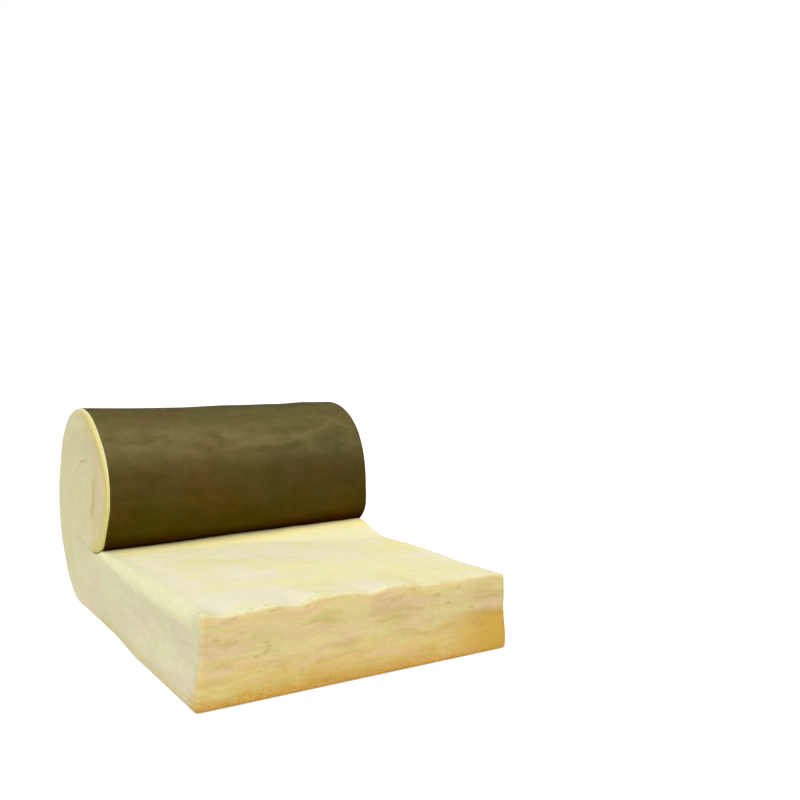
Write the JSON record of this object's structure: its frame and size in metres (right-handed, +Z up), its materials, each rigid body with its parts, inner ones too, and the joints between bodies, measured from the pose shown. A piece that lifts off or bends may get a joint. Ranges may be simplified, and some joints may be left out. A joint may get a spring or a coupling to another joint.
{
  "type": "insulation roll",
  "caption": "Strip of faced glass wool insulation, partly unrolled: flat at the front and still wound into a roll at the back, with the dark facing outside.",
  "frame": {"origin": "middle of the strip's footprint, on the floor that it lies on", "axes": "+X across the strip's width, +Y from the flat part's cut front end towards the roll, +Z up"},
  "size_m": [0.6, 0.889, 0.428],
  "materials": {
    "wool": "matte, pale yellow glass fibre",
    "fleece": "matte, dark olive-brown non-woven glass fleece"
  },
  "bodies": {
    "root": {"wool_mat": "wool", "facing": "fleece"}
  },
  "joints": []
}
